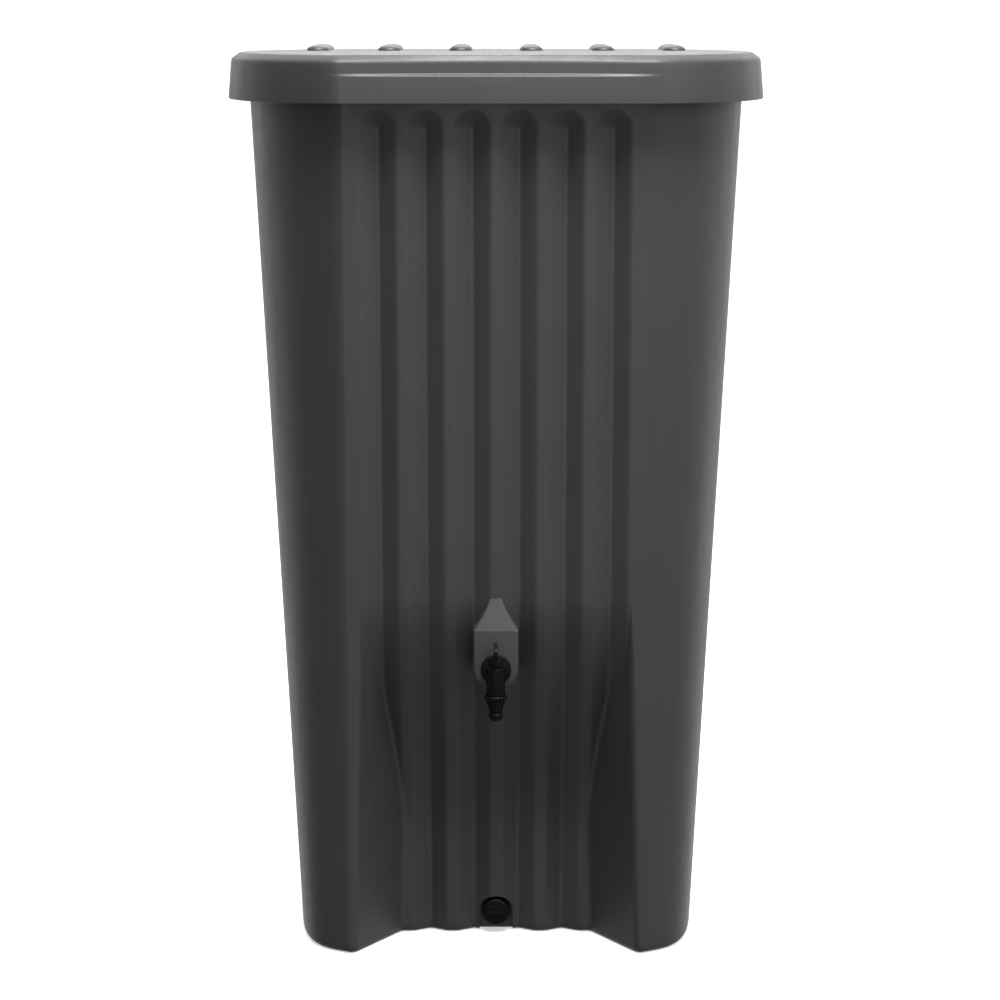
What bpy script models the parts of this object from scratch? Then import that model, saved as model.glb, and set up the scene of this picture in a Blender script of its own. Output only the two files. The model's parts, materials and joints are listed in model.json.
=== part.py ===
"""Wall-standing rain barrel with a lift-off lid, a quarter-turn tap and a screwed drain outlet.

Metres, +Z up. The origin is on the ground under the middle of the tank, and -Y is the tap side.
"""
from math import cos, hypot, pi, radians, sin

import bmesh
import bpy
from mathutils import Matrix, Vector

# ---------------------------------------------------------------- driving dimensions
GAP = 0.0003                    # clearance left between two pieces that touch
SMOOTH_ANGLE = radians(35)

# Tank plan: a straight front and back, joined by long swept corners, tapering towards the ground.
# A corner leaves the straight part at a slight angle and reaches the middle of the side.
BASE_HALF_WIDTH = 0.2252
RIM_HALF_WIDTH = 0.2780
BASE_HALF_DEPTH = 0.1725
RIM_HALF_DEPTH = 0.209
FLAT_HALF_WIDTH = 0.165         # half of the straight front and back
CORNER_KINK = radians(26)
BASE_CORNER_LEAD = 0.042        # how far a corner keeps its first direction
RIM_CORNER_LEAD = 0.105
BASE_SIDE_LEAD = 0.144          # how far the side keeps its straight middle
RIM_SIDE_LEAD = 0.055
TANK_HEIGHT = 0.9942            # ground to the top of the rim
TANK_WALL = 0.004
TANK_FLOOR = 0.005
BASE_EDGE_RADIUS = 0.008

# Rolled rim at the tank's mouth
RIM_OVERHANG = 0.009
RIM_BELOW = 0.028               # how far the rolled edge hangs below the rim's top
RIM_CHAMFER = 0.006

# Upright flutes in the front and back walls
FLUTE_COUNT = 6
FLUTE_PITCH = 0.050
FLUTE_HALF_WIDTH = 0.019
FLUTE_ROOT_HALF_WIDTH = 0.0015
FLUTE_DEPTH = 0.010
FLUTE_TOP_DROP = 0.0542         # from the rim's top to the upper end of the flutes

# The front wall sets back near the ground and leaves a leg at each corner
LEG_SET_BACK = 0.0765
LEG_TOP = 0.412
LEG_FULL = 0.120                # height below which the set-back is complete
LEG_EDGE_BASE = 0.1580          # half distance between the legs' front edges
LEG_EDGE_TOP = 0.1475
LEG_FLANK_RUN = 0.65            # sideways travel of a leg's inner flank per unit of depth

# Lid
LID_WALL = 0.0035
LID_SKIRT_HEIGHT = 0.051
LID_SIDE_CLEARANCE = 0.0055     # between the skirt and the tank's rolled rim
LID_DRAFT = 0.0037              # how much wider the skirt is at its lower edge
LID_CHAMFER_RUN = 0.010
LID_CHAMFER_DROP = 0.0070
LID_NOTCH_HALF_WIDTH = 0.182
LID_LEDGE_HEIGHT = 0.0026
LID_NOTCH_DEPTH = 0.0045
LID_NOTCH_DROP = 0.0210         # from the lid's top to the notch's ledge
LID_RIB_COUNT = 6
LID_RIB_PITCH = 0.0815
LID_RIB_LENGTH = 0.130
LID_RIB_RADIUS = 0.0130
LID_RIB_HEIGHT = 0.0067
LID_RIB_CENTRE_Y = 0.115

# Tap boss and tap
TAP_HEIGHT = 0.3345
BOSS_HALF_WIDTH = 0.0245
BOSS_FACE_Y = -0.200
BOSS_WALL = 0.005
BOSS_RISE = 0.043               # from the tap's axis to the boss's upper edge
BOSS_HOOD_RISE = 0.034          # from the boss's upper edge to the tip of its hood
BOSS_HOOD_TIP_HALF_WIDTH = 0.007
WASHER_THICKNESS = 0.0015
TAP_SHANK_RADIUS = 0.0105
TAP_BORE_RADIUS = 0.0050
TAP_FLANGE_RADIUS = 0.0166
TAP_FLANGE_THICKNESS = 0.004
TAP_NECK_RADIUS = 0.0090
TAP_REACH = 0.035               # from the boss face to the plug's axis
TAP_HOUSING_RADIUS = 0.0110
TAP_HOUSING_RISE = 0.0105       # from the tap's axis to the top of the housing
TAP_OUTLET_DROP = 0.0203        # from the tap's axis to the end of the outlet's wide part
TAP_SHANK_INSIDE = 0.016        # shank that stands inside the tank, for the lock nut
LOCK_NUT_THICKNESS = 0.008
LOCK_NUT_RADIUS = 0.0175

PLUG_RADIUS = 0.0068
PLUG_CLEARANCE = 0.0004
PLUG_DROP = 0.0105              # from the tap's axis to the plug's lower end
PLUG_PORT_RADIUS = 0.0042
O_RING_SECTION = 0.0016
O_RING_HEIGHT = 0.0072          # each O-ring's distance from the tap's axis
BONNET_RADIUS = 0.0079
BONNET_TOP = 0.0200             # height of the bonnet's top over the tap's axis
BONNET_BORE_RADIUS = 0.0050
LEVER_THICKNESS = 0.0045
LEVER_TOP = 0.0360
LEVER_TANG_WIDTH = 0.0060
LEVER_TANG_DEPTH = 0.0070
LEVER_FRONT = 0.022             # blade length in front of the plug's axis
LEVER_BACK = 0.012

NOZZLE_THREAD_RADIUS = 0.0078
NOZZLE_NECK_RADIUS = 0.0070
NOZZLE_WASHER = 0.0012
NOZZLE_BORE_RADIUS = 0.0042
NOZZLE_END_DROP = 0.0487        # from the tap's axis to the nozzle's tip
NOZZLE_FLANGE = 0.0016
SPOUT_THREAD_LENGTH = 0.0045
NUT_COLLAR_RADIUS = 0.0125
NUT_BODY_RADIUS = 0.0103
NUT_COLLAR_HEIGHT = 0.0045
NUT_HEIGHT = 0.0092

# Drain outlet near the ground
DRAIN_HEIGHT = 0.0245
DRAIN_POCKET_RADIUS = 0.0190
DRAIN_POCKET_DEPTH = 0.020      # behind the lands of the front wall at the ground
DRAIN_TUBE_RADIUS = 0.0100
DRAIN_BORE_RADIUS = 0.0075
DRAIN_TUBE_OUT = 0.0185         # from the pocket's back to the tube's outer end
DRAIN_TUBE_IN = 0.0130
DRAIN_FLANGE_RADIUS = 0.0140
DRAIN_FLANGE_THICKNESS = 0.003
DRAIN_NUT_RADIUS = 0.0160
DRAIN_NUT_THICKNESS = 0.006
DRAIN_CAP_RADIUS = 0.0159
DRAIN_CAP_END = 0.0028
DRAIN_CAP_RIBS = 18
DRAIN_CAP_RIB_DEPTH = 0.0007
DRAIN_GASKET_THICKNESS = 0.0012

# ---------------------------------------------------------------- fits derived from them
LID_TOP = TANK_HEIGHT + GAP + LID_WALL                   # top face of the lid
FLUTE_TOP = TANK_HEIGHT - FLUTE_TOP_DROP
FLUTE_APEX = FLUTE_TOP - FLUTE_HALF_WIDTH
COLUMN_SPACING = 0.0004          # least distance between two columns of the front wall
FLUTE_CENTRES = [(i - (FLUTE_COUNT - 1) / 2) * FLUTE_PITCH for i in range(FLUTE_COUNT)]
PLUG_Y = BOSS_FACE_Y - TAP_REACH
POCKET_Y = -(BASE_HALF_DEPTH - LEG_SET_BACK - DRAIN_POCKET_DEPTH)
TAP_AXIS = Vector((0, 0, TAP_HEIGHT))
DRAIN_AXIS = Vector((0, 0, DRAIN_HEIGHT))


# ---------------------------------------------------------------- materials
def plastic(name, colour, roughness):
    """Principled material with a colour, a roughness and no metal."""
    material = bpy.data.materials.new(name)
    material.use_nodes = True
    shader = material.node_tree.nodes["Principled BSDF"]
    shader.inputs["Base Color"].default_value = (*colour, 1)
    shader.inputs["Roughness"].default_value = roughness
    shader.inputs["Metallic"].default_value = 0
    material.diffuse_color = (*colour, 1)
    return material


def clear_scene():
    for item in list(bpy.data.objects):
        bpy.data.objects.remove(item, do_unlink=True)


# ---------------------------------------------------------------- mesh helpers
def add_object(name, mesh_builder, material=None):
    """Turn a bmesh into a named object with its faces pointing out."""
    bmesh.ops.recalc_face_normals(mesh_builder, faces=mesh_builder.faces[:])
    mesh = bpy.data.meshes.new(name)
    mesh_builder.to_mesh(mesh)
    mesh_builder.free()
    item = bpy.data.objects.new(name, mesh)
    bpy.context.scene.collection.objects.link(item)
    if material:
        mesh.materials.append(material)
    mesh.shade_smooth()
    mesh.set_sharp_from_angle(angle=SMOOTH_ANGLE)
    return item


def skin(builder, loops, closed=False):
    """Join a list of equally long closed loops of points with quads, and cap the two ends."""
    rings = [[builder.verts.new(point) for point in loop] for loop in loops]
    count = len(rings[0])
    pairs = list(zip(rings, rings[1:]))
    if closed:
        pairs.append((rings[-1], rings[0]))
    for low, high in pairs:
        for i in range(count):
            j = (i + 1) % count
            builder.faces.new((low[i], low[j], high[j], high[i]))
    if not closed:
        builder.faces.new(rings[0][::-1])
        builder.faces.new(rings[-1])


def circle(radius, height, steps, turn=0.0):
    """Closed loop of points around the Z axis."""
    angles = [2 * pi * i / steps + turn for i in range(steps)]
    return [Vector((radius * cos(a), radius * sin(a), height)) for a in angles]


def turned(name, profile, material, steps=28, to_world=Matrix(), closed=False):
    """Solid of revolution about Z from (radius, height) pairs, then placed by to_world."""
    builder = bmesh.new()
    skin(builder, [circle(radius, height, steps) for radius, height in profile], closed)
    builder.transform(to_world)
    return add_object(name, builder, material)


def ring(name, outer, inner, low, high, material, steps=28, to_world=Matrix()):
    """Flat ring or short tube."""
    profile = [(inner, low), (outer, low), (outer, high), (inner, high)]
    return turned(name, profile, material, steps, to_world, closed=True)


def hex_nut(name, outer, inner, low, high, material, to_world):
    """Six-sided nut with a round hole, its sides drawn with several points so the loops match."""
    steps = 36
    per_side = steps // 6
    builder = bmesh.new()

    def hexagon(height):
        loop = []
        for i in range(steps):
            side, part = divmod(i, per_side)
            start = Vector((cos(side * pi / 3), sin(side * pi / 3), 0)) * outer
            end = Vector((cos((side + 1) * pi / 3), sin((side + 1) * pi / 3), 0)) * outer
            loop.append(start.lerp(end, part / per_side) + Vector((0, 0, height)))
        return loop

    loops = [circle(inner, low, steps), hexagon(low), hexagon(high), circle(inner, high, steps)]
    skin(builder, loops, closed=True)
    builder.transform(to_world)
    return add_object(name, builder, material)


def outline_prism(name, outline, y_low, y_high):
    """Solid between two Y values from an (x, z) outline. Used for cutters and boss blocks."""
    builder = bmesh.new()
    loops = [[Vector((x, y, z)) for x, z in outline] for y in (y_low, y_high)]
    skin(builder, loops)
    return add_object(name, builder)


def combine(target, tool, operation):
    """Boolean with a guide object that stays hidden."""
    tool.hide_render = True
    tool.display_type = 'WIRE'
    modifier = target.modifiers.new(operation.lower() + "_" + tool.name, 'BOOLEAN')
    modifier.operation = operation
    modifier.solver = 'EXACT'
    modifier.object = tool


def cut(target, tool):
    combine(target, tool, 'DIFFERENCE')


def join(target, tool):
    combine(target, tool, 'UNION')


def facing_front(origin):
    """Places a piece turned about Z so that its Z axis points towards -Y at origin."""
    return Matrix.Translation(origin) @ Matrix.Rotation(pi / 2, 4, 'X')


# ---------------------------------------------------------------- tank shape
def clamp(value):
    return min(1.0, max(0.0, value))


def smooth_step(value):
    t = clamp(value)
    return t * t * (3 - 2 * t)


def tank_plan(height):
    """Half width, half depth, corner lead and side lead of the tank's outside at a height."""
    t = height / TANK_HEIGHT
    ends = ((BASE_HALF_WIDTH, RIM_HALF_WIDTH), (BASE_HALF_DEPTH, RIM_HALF_DEPTH),
            (BASE_CORNER_LEAD, RIM_CORNER_LEAD), (BASE_SIDE_LEAD, RIM_SIDE_LEAD))
    return [low + (high - low) * t for low, high in ends]


def corner_points(plan, offset, steps):
    """Front right corner, from the straight front to the middle of the side, moved out by offset."""
    half_width, half_depth, corner_lead, side_lead = plan
    start = Vector((FLAT_HALF_WIDTH, -half_depth))
    end = Vector((half_width, 0))
    first = start + corner_lead * Vector((cos(CORNER_KINK), sin(CORNER_KINK)))
    last = end - side_lead * Vector((0, 1))
    points = []
    for step in range(steps + 1):
        t = step / steps
        u = 1 - t
        point = u ** 3 * start + 3 * u * u * t * first + 3 * u * t * t * last + t ** 3 * end
        along = u * u * (first - start) + 2 * u * t * (last - first) + t * t * (end - last)
        along.normalize()
        points.append((point.x + along.y * offset, point.y - along.x * offset))
    return points


def plan_loop(plan, offset, height, front, back, corner_steps=8):
    """Closed loop at one height. The front and back are (x, set-back) pairs, from left to right."""
    reach = plan[1] + offset
    corner = corner_points(plan, offset, corner_steps)
    returning = corner[-2::-1]
    points = [(x, -reach + shift) for x, shift in front] + corner
    points += [(x, -y) for x, y in returning] + [(x, reach - shift) for x, shift in back[::-1]]
    points += [(-x, -y) for x, y in corner] + [(-x, y) for x, y in returning]
    return [Vector((x, y, height)) for x, y in points]


def flute_depth(x, height):
    """Depth of the V-shaped flutes, whose upper ends are half cones."""
    nearest = min(FLUTE_CENTRES, key=lambda centre: abs(x - centre))
    distance = hypot(x - nearest, max(0.0, height - FLUTE_APEX))
    slope = (FLUTE_HALF_WIDTH - distance) / (FLUTE_HALF_WIDTH - FLUTE_ROOT_HALF_WIDTH)
    return FLUTE_DEPTH * clamp(slope)


def leg_edge(height):
    """Half distance between the front edges of the two legs."""
    return LEG_EDGE_BASE + (LEG_EDGE_TOP - LEG_EDGE_BASE) * clamp(height / LEG_TOP)


def panel_set_back(x, height):
    """How far the fluted panel between the legs lies behind the legs' fronts."""
    recess = LEG_SET_BACK * smooth_step((LEG_TOP - height) / (LEG_TOP - LEG_FULL))
    return recess + flute_depth(x, height)


def front_set_back(x, height, edge_shift):
    flank = max(0.0, (leg_edge(height) + edge_shift - abs(x)) / LEG_FLANK_RUN)
    return min(panel_set_back(x, height), flank)


def flank_foot(height, edge_shift):
    """Where a leg's inner flank meets the fluted panel, found by halving."""
    low = FLUTE_CENTRES[-1] - FLUTE_HALF_WIDTH - FLUTE_PITCH
    high = leg_edge(height) + edge_shift
    for _ in range(30):
        x = (low + high) / 2
        if (leg_edge(height) + edge_shift - x) / LEG_FLANK_RUN > panel_set_back(x, height):
            low = x
        else:
            high = x
    return low


def front_points(height, edge_shift):
    """(x, set-back) pairs across the front. The outer columns follow the legs' flanks."""
    foot = flank_foot(height, edge_shift)
    edge = leg_edge(height) + edge_shift
    half = []
    for centre in FLUTE_CENTRES[FLUTE_COUNT // 2:]:
        for offset in (-FLUTE_HALF_WIDTH, -FLUTE_ROOT_HALF_WIDTH, FLUTE_ROOT_HALF_WIDTH, FLUTE_HALF_WIDTH):
            half.append(centre + offset)
    count = len(half)
    half = [min(x, foot - COLUMN_SPACING * (count - index)) for index, x in enumerate(half)]
    half += [min(foot, edge - COLUMN_SPACING), edge]
    columns = [-x for x in half[::-1]] + half
    return [(x, front_set_back(x, height, edge_shift)) for x in columns]


def back_points(height):
    columns = []
    for centre in FLUTE_CENTRES:
        for offset in (-FLUTE_HALF_WIDTH, -FLUTE_ROOT_HALF_WIDTH, FLUTE_ROOT_HALF_WIDTH, FLUTE_HALF_WIDTH):
            columns.append(centre + offset)
    return [(x, flute_depth(x, height)) for x in columns]


def tank_levels():
    """Heights of the wall's loops: close together where the legs and flute ends curve."""
    legs = [LEG_FULL + (LEG_TOP - LEG_FULL) * step / 9 for step in range(10)]
    cone = [FLUTE_APEX + FLUTE_HALF_WIDTH * sin(pi / 2 * step / 3) for step in range(4)]
    return legs + cone


def tank_shell():
    """Open-topped shell with an even wall, a floor and a rolled rim, as one closed skin."""
    radius = BASE_EDGE_RADIUS

    def loop(height, offset, edge_shift=0.0):
        return plan_loop(tank_plan(height), offset, height, front_points(height, edge_shift), back_points(height))

    # The legs' inner flanks are moved sideways too, so that the wall keeps its thickness there.
    shift = TANK_WALL * (hypot(1, LEG_FLANK_RUN) - LEG_FLANK_RUN)

    outside = [loop(radius * (1 - cos(a)), -radius * (1 - sin(a))) for a in (0.0, pi / 4)]
    outside.append(loop(radius, 0))
    outside += [loop(height, 0) for height in tank_levels()]
    under_rim = TANK_HEIGHT - RIM_BELOW
    rim = [
        loop(under_rim - RIM_OVERHANG * 0.4, 0),
        loop(under_rim, RIM_OVERHANG),
        loop(TANK_HEIGHT - RIM_CHAMFER, RIM_OVERHANG),
        loop(TANK_HEIGHT, RIM_OVERHANG - RIM_CHAMFER),
        loop(TANK_HEIGHT, -TANK_WALL),
    ]
    inside = [loop(height, -TANK_WALL, shift) for height in tank_levels()[::-1]]
    inside.append(loop(TANK_FLOOR + radius, -TANK_WALL, shift))
    inside.append(loop(TANK_FLOOR, -TANK_WALL - radius * 0.6, shift))
    builder = bmesh.new()
    skin(builder, outside + rim + inside)
    return builder


def boss_outline(grow):
    """(x, z) outline of the tap boss: round below, straight sides, flat above."""
    width = BOSS_HALF_WIDTH + grow
    top = TAP_HEIGHT + BOSS_RISE + grow
    outline = [(width * cos(a), TAP_HEIGHT + width * sin(a)) for a in [pi + pi * i / 12 for i in range(13)]]
    outline += [(width, top), (-width, top)]
    return outline


def boss_block(name):
    """The boss: a flat upright face for the tap."""
    builder = bmesh.new()
    rear = -RIM_HALF_DEPTH + 0.055
    loops = [[Vector((x, y, z)) for x, z in boss_outline(0)] for y in (BOSS_FACE_Y, rear)]
    skin(builder, loops)
    return add_object(name, builder)


def hood_block(name):
    """Solid under the hood, a stack of narrowing loops from the boss's upper edge to the tip."""
    base = TAP_HEIGHT + BOSS_RISE - 0.001
    steps = 6
    tip_y = -tank_plan(base + BOSS_HOOD_RISE)[1] - GAP
    rear = tip_y + TANK_WALL * 0.9
    loops = []
    for step in range(steps + 1):
        t = step / steps
        half = BOSS_HOOD_TIP_HALF_WIDTH + (BOSS_HALF_WIDTH - BOSS_HOOD_TIP_HALF_WIDTH) * (1 - t) ** 1.3
        height = base + BOSS_HOOD_RISE * t
        face = BOSS_FACE_Y + (tip_y - BOSS_FACE_Y) * t
        loops.append([Vector((x, y, height)) for x, y in
                      ((-half, face), (half, face), (half, rear + 0.010), (-half, rear + 0.010))])
    builder = bmesh.new()
    skin(builder, loops)
    return add_object(name, builder)


def arch_outline(radius, foot):
    """(x, z) outline of an arch standing on height foot, centred on the drain's axis."""
    arc = [(radius * cos(a), DRAIN_HEIGHT + radius * sin(a)) for a in [pi * i / 12 for i in range(13)]]
    return [(-radius, foot), (radius, foot)] + arc


def make_tank(material):
    tank = add_object("tank", tank_shell(), material)
    cavity_back = -RIM_HALF_DEPTH + 0.080
    join(tank, boss_block("guide_boss"))
    join(tank, hood_block("guide_hood"))
    cut(tank, outline_prism("guide_boss_cavity", boss_outline(-TANK_WALL), BOSS_FACE_Y + BOSS_WALL, cavity_back))
    pocket_wall = arch_outline(DRAIN_POCKET_RADIUS + TANK_WALL, TANK_FLOOR * 0.5)
    wall_front = -(BASE_HALF_DEPTH - LEG_SET_BACK) + FLUTE_DEPTH + TANK_WALL * 0.5
    join(tank, outline_prism("guide_pocket_wall", pocket_wall, wall_front, POCKET_Y + TANK_WALL))
    pocket_front = -BASE_HALF_DEPTH
    cut(tank, outline_prism("guide_pocket", arch_outline(DRAIN_POCKET_RADIUS, -0.01), pocket_front, POCKET_Y))
    hole_steps = 24
    tap_hole = turned("guide_tap_hole", [(TAP_SHANK_RADIUS + GAP, -0.02), (TAP_SHANK_RADIUS + GAP, 0.02)], None,
                      hole_steps, facing_front(TAP_AXIS + Vector((0, BOSS_FACE_Y, 0))))
    cut(tank, tap_hole)
    drain_hole = turned("guide_drain_hole", [(DRAIN_TUBE_RADIUS + GAP, -0.01), (DRAIN_TUBE_RADIUS + GAP, 0.01)],
                        None, hole_steps, facing_front(DRAIN_AXIS + Vector((0, POCKET_Y, 0))))
    cut(tank, drain_hole)
    return tank


# ---------------------------------------------------------------- lid
def notch_set_back(x):
    """Set-back of the skirt's upper front part, fading out to both ends of the notch."""
    return LID_NOTCH_DEPTH * clamp(1 - (x / LID_NOTCH_HALF_WIDTH) ** 2)


def make_lid(material):
    """Thin cover with a drafted skirt, a chamfered top, a finger notch in front and ribs on top."""
    plan = tank_plan(TANK_HEIGHT)
    reach = RIM_OVERHANG + LID_SIDE_CLEARANCE + LID_WALL
    top = LID_TOP
    skirt_foot = top - LID_SKIRT_HEIGHT
    ledge = top - LID_NOTCH_DROP
    shoulder = top - LID_CHAMFER_DROP
    half_ledge = LID_LEDGE_HEIGHT / 2
    steps = 12
    columns = [FLAT_HALF_WIDTH * (2 * step / steps - 1) for step in range(steps + 1)]
    straight = [(x, 0) for x in columns]
    notch = [(x, notch_set_back(x)) for x in columns]
    back = [(-FLAT_HALF_WIDTH * 0.5, 0), (FLAT_HALF_WIDTH * 0.5, 0)]

    def draft(height):
        return LID_DRAFT * (shoulder - height) / (shoulder - skirt_foot)

    def loop(height, inset, notched):
        offset = reach + draft(min(height, shoulder)) - inset
        return plan_loop(plan, offset, height, notch if notched else straight, back)

    wall = LID_WALL
    outside = [
        loop(skirt_foot, 0, False),
        loop(ledge - half_ledge, 0, False),
        loop(ledge + half_ledge, 0, True),
        loop(shoulder, 0, True),
        loop(top, LID_CHAMFER_RUN, False),
    ]
    inside = [
        loop(top - wall, LID_CHAMFER_RUN + wall * 0.5, False),
        loop(shoulder - wall * 0.5, wall, True),
        loop(ledge + half_ledge - wall * 0.5, wall, True),
        loop(ledge - half_ledge - wall * 0.5, wall, False),
        loop(skirt_foot, wall, False),
    ]
    # The skin runs from the inner ceiling down, round the skirt's foot and up to the outer top.
    builder = bmesh.new()
    skin(builder, inside + outside)
    lid = add_object("lid", builder, material)
    for index in range(LID_RIB_COUNT):
        x = (index - (LID_RIB_COUNT - 1) / 2) * LID_RIB_PITCH
        join(lid, rib_block("guide_lid_rib_%d" % (index + 1), x, top))
    return lid


def rib_block(name, x, top):
    """Half-round rib with round ends, sunk a little into the lid's top."""
    sink = LID_WALL * 0.4
    levels = [(LID_RIB_RADIUS, -sink)]
    levels += [(LID_RIB_RADIUS * cos(a), LID_RIB_HEIGHT * sin(a)) for a in (0.0, pi / 8, pi / 4, pi * 3 / 8)]
    levels.append((LID_RIB_RADIUS * 0.08, LID_RIB_HEIGHT))
    straight = LID_RIB_LENGTH / 2 - LID_RIB_RADIUS
    loops = []
    for radius, rise in levels:
        loop = []
        for end, first in ((1, 0.0), (-1, pi)):
            for step in range(7):
                angle = first + pi * step / 6
                y = LID_RIB_CENTRE_Y + end * straight + radius * sin(angle)
                loop.append(Vector((x + radius * cos(angle), y, top + rise)))
        loops.append(loop)
    builder = bmesh.new()
    skin(builder, loops)
    return add_object(name, builder)


# ---------------------------------------------------------------- tap
def make_tap(material, seal):
    face = TAP_AXIS + Vector((0, BOSS_FACE_Y, 0))
    front = facing_front(face)
    plug_axis = Matrix.Translation(TAP_AXIS + Vector((0, PLUG_Y, 0)))
    flange_low = GAP + WASHER_THICKNESS + GAP
    inside_low = -BOSS_WALL - TAP_SHANK_INSIDE

    body = turned("tap_body", [(TAP_SHANK_RADIUS, inside_low), (TAP_SHANK_RADIUS, flange_low),
                               (TAP_FLANGE_RADIUS, flange_low),
                               (TAP_FLANGE_RADIUS, flange_low + TAP_FLANGE_THICKNESS),
                               (TAP_NECK_RADIUS, flange_low + TAP_FLANGE_THICKNESS),
                               (TAP_NECK_RADIUS, TAP_REACH)], material, 28, front)
    outlet_low = -TAP_OUTLET_DROP - SPOUT_THREAD_LENGTH
    housing = turned("guide_tap_housing", [(NOZZLE_THREAD_RADIUS, outlet_low),
                                           (NOZZLE_THREAD_RADIUS, -TAP_OUTLET_DROP),
                                           (TAP_HOUSING_RADIUS, -TAP_OUTLET_DROP),
                                           (TAP_HOUSING_RADIUS, TAP_HOUSING_RISE)], None, 28, plug_axis)
    join(body, housing)
    plug_bore = turned("guide_plug_bore", [(PLUG_RADIUS + PLUG_CLEARANCE, -PLUG_DROP - GAP),
                                           (PLUG_RADIUS + PLUG_CLEARANCE, TAP_HOUSING_RISE + 0.01)],
                       None, 28, plug_axis)
    cut(body, plug_bore)
    outlet = turned("guide_outlet_bore", [(TAP_BORE_RADIUS, outlet_low - 0.01), (TAP_BORE_RADIUS, 0)], None, 24,
                    plug_axis)
    cut(body, outlet)
    inlet = turned("guide_inlet_bore", [(TAP_BORE_RADIUS, inside_low - 0.01), (TAP_BORE_RADIUS, TAP_REACH)],
                   None, 24, front)
    cut(body, inlet)

    ring("tap_outer_washer", TAP_FLANGE_RADIUS - 0.0015, TAP_SHANK_RADIUS + GAP, GAP, GAP + WASHER_THICKNESS,
         seal, 24, front)
    washer_high = -BOSS_WALL - GAP
    ring("tap_inner_washer", LOCK_NUT_RADIUS, TAP_SHANK_RADIUS + GAP, washer_high - WASHER_THICKNESS, washer_high,
         seal, 24, front)
    nut_high = washer_high - WASHER_THICKNESS - GAP
    hex_nut("tap_lock_nut", LOCK_NUT_RADIUS, TAP_SHANK_RADIUS + GAP, nut_high - LOCK_NUT_THICKNESS, nut_high,
            material, front)


def make_plug(material, seal, parent):
    """Rotating plug: a side port and a bottom port, two O-rings and a slot for the lever."""
    plug_axis = Matrix.Translation(TAP_AXIS + Vector((0, PLUG_Y, 0)))
    groove = O_RING_SECTION / 2
    neck = BONNET_BORE_RADIUS - PLUG_CLEARANCE
    stem_top = BONNET_TOP - 0.0002
    seat = TAP_HOUSING_RISE - 0.0004
    inner = PLUG_RADIUS - O_RING_SECTION * 0.55
    profile = [(PLUG_RADIUS, -PLUG_DROP)]
    for height in (-O_RING_HEIGHT, O_RING_HEIGHT):
        profile += [(PLUG_RADIUS, height - groove - GAP), (inner, height - groove - GAP),
                    (inner, height + groove + GAP), (PLUG_RADIUS, height + groove + GAP)]
    profile += [(PLUG_RADIUS, seat), (neck, seat), (neck, stem_top)]
    plug = turned("tap_plug", profile, material, 28, plug_axis)
    side_port = turned("guide_side_port", [(PLUG_PORT_RADIUS, -0.0011), (PLUG_PORT_RADIUS, 0.02)], None, 20,
                       plug_axis @ Matrix.Rotation(pi / 2, 4, 'Y'))
    cut(plug, side_port)
    bottom_port = turned("guide_bottom_port", [(PLUG_PORT_RADIUS, -0.02), (PLUG_PORT_RADIUS, 0.0009)], None, 20,
                         plug_axis)
    cut(plug, bottom_port)
    slot_half_x = LEVER_THICKNESS / 2 + GAP
    slot_half_y = LEVER_TANG_WIDTH / 2 + GAP
    slot_low = stem_top - LEVER_TANG_DEPTH - GAP
    builder = bmesh.new()
    skin(builder, [[Vector((x, y, z)) for x, y in ((-slot_half_x, -slot_half_y), (slot_half_x, -slot_half_y),
                                                   (slot_half_x, slot_half_y), (-slot_half_x, slot_half_y))]
                   for z in (slot_low, stem_top + 0.01)])
    builder.transform(plug_axis)
    cut(plug, add_object("guide_lever_slot", builder))

    for label, height in (("lower", -O_RING_HEIGHT), ("upper", O_RING_HEIGHT)):
        outer = PLUG_RADIUS + PLUG_CLEARANCE - 0.0001
        radius_in = inner + 0.0001
        ring("plug_%s_o_ring" % label, outer, radius_in, height - groove, height + groove, seal, 24, plug_axis)

    builder = bmesh.new()
    tang = LEVER_TANG_WIDTH / 2
    blade_low = BONNET_TOP + GAP
    outline = [(-tang, slot_low + GAP), (tang, slot_low + GAP), (tang, blade_low), (LEVER_BACK, blade_low),
               (LEVER_BACK, LEVER_TOP - 0.006), (LEVER_BACK - 0.004, LEVER_TOP), (-LEVER_FRONT + 0.006, LEVER_TOP),
               (-LEVER_FRONT, LEVER_TOP - 0.004), (-LEVER_FRONT, LEVER_TOP - 0.009), (-LEVER_FRONT + 0.004, blade_low),
               (-tang, blade_low)]
    half = LEVER_THICKNESS / 2
    skin(builder, [[Vector((x, y, z)) for y, z in outline] for x in (-half, half)])
    builder.transform(plug_axis)
    add_object("tap_lever", builder, material)

    for name in ("tap_plug", "plug_lower_o_ring", "plug_upper_o_ring", "tap_lever"):
        hang_on(bpy.data.objects[name], parent)


def make_bonnet(material):
    """Cap ring that holds the plug down in its housing."""
    plug_axis = Matrix.Translation(TAP_AXIS + Vector((0, PLUG_Y, 0)))
    low = TAP_HOUSING_RISE + GAP
    ring("tap_bonnet", BONNET_RADIUS, BONNET_BORE_RADIUS, low, BONNET_TOP, material, 28, plug_axis)


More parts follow.
